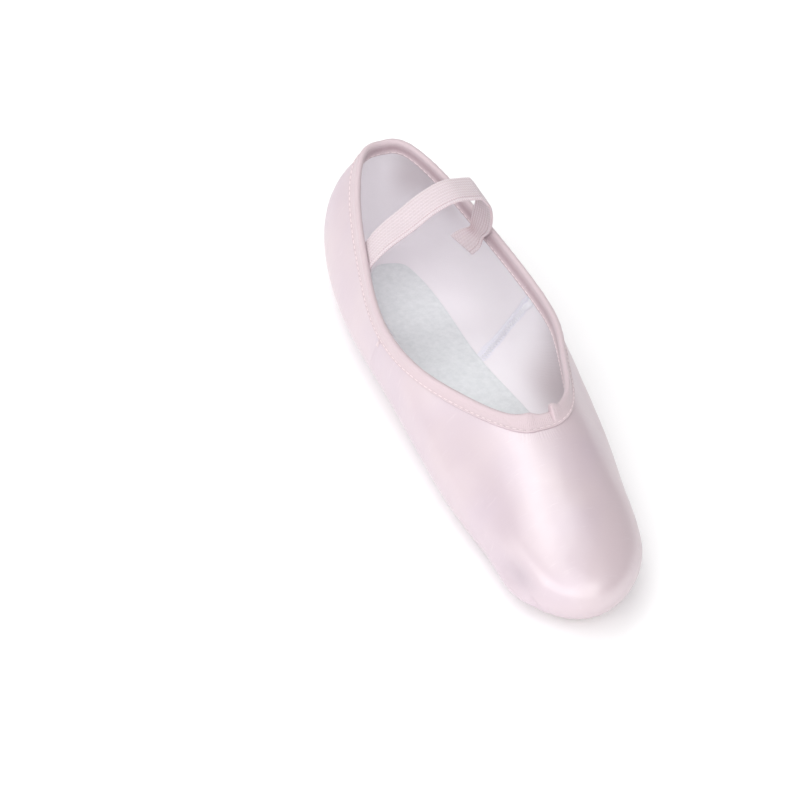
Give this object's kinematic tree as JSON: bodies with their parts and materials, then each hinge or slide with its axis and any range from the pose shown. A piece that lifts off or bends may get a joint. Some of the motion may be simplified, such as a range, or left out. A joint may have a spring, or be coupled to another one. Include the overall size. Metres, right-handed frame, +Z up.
{
  "type": "demi-pointe ballet shoe",
  "caption": "Left soft demi-pointe ballet shoe in pale pink satin, with a suede sole, a folded collar binding and an elastic strap with one loose end.",
  "frame": {"origin": "middle of the bounding box in X and Y, on the floor that the sole stands on", "axes": "+Z up; toe towards -Y and heel towards +Y; the big toe's side, medial, towards -X and the lateral side towards +X"},
  "size_m": [0.0704, 0.235, 0.0659],
  "materials": {
    "satin": "pale pink satin with a soft sheen",
    "binding_tape": "finely ribbed pink tape",
    "elastic": "ribbed pink elastic",
    "felt": "matt grey, finely fibrous",
    "suede": "matt split suede"
  },
  "bodies": {
    "root": {"upper": "satin", "binding": "binding_tape", "elastic_strap": "elastic", "insole": "felt", "outsole": "suede"}
  },
  "joints": []
}
